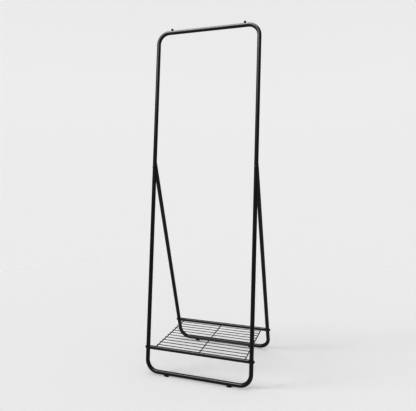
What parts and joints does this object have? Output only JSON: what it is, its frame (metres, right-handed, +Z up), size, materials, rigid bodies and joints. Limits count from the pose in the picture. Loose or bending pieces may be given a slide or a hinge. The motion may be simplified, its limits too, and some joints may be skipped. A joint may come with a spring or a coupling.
{
  "type": "garment stand",
  "caption": "Free-standing black A-frame clothes stand: bent tube frames, a hanging rail with end stops, and a low wire shelf near the floor.",
  "frame": {"origin": "on the floor, at the middle of the footprint", "axes": "+Z up, +Y to the back (the side that the rear frame stands on), +X to the right seen from the front"},
  "size_m": [0.5158, 0.442, 1.6105],
  "materials": {
    "powder_coat": "satin black powder coat with a very fine grain",
    "wire_coat": "satin black powder coat, slightly thicker at the welds",
    "black_plastic": "moulded black plastic, lightly textured",
    "foot_rubber": "matt black rubber",
    "black_fastener": "black plated steel, semi-gloss",
    "zinc_steel": "bright zinc plated steel"
  },
  "bodies": {
    "root": {"top_rail": "powder_coat", "left_upper_post": "powder_coat", "right_upper_post": "powder_coat", "front_base_frame": "powder_coat", "rear_frame": "powder_coat", "front_shelf_bar": "powder_coat", "rear_shelf_bar": "powder_coat", "left_cross_wire": "wire_coat", "centre_cross_wire": "wire_coat", "right_cross_wire": "wire_coat", "slat_wire_01": "wire_coat", "slat_wire_02": "wire_coat", "slat_wire_03": "wire_coat", "slat_wire_04": "wire_coat", "slat_wire_05": "wire_coat", "slat_wire_06": "wire_coat", "slat_wire_07": "wire_coat", "slat_wire_08": "wire_coat", "slat_wire_09": "wire_coat", "slat_wire_10": "wire_coat", "slat_wire_11": "wire_coat", "front_left_bar_plug": "black_plastic", "front_right_bar_plug": "black_plastic", "rear_left_bar_plug": "black_plastic", "rear_right_bar_plug": "black_plastic", "shelf_bar_nuts": "zinc_steel", "shelf_bolts": "black_fastener", "left_leg_plug": "black_plastic", "right_leg_plug": "black_plastic", "leg_plug_nuts": "zinc_steel", "apex_bolts": "black_fastener", "saddle_washers": "black_plastic", "left_hanger_stop": "black_plastic", "right_hanger_stop": "black_plastic", "front_left_foot": "foot_rubber", "front_right_foot": "foot_rubber", "rear_left_foot": "foot_rubber", "rear_right_foot": "foot_rubber"}
  },
  "joints": []
}
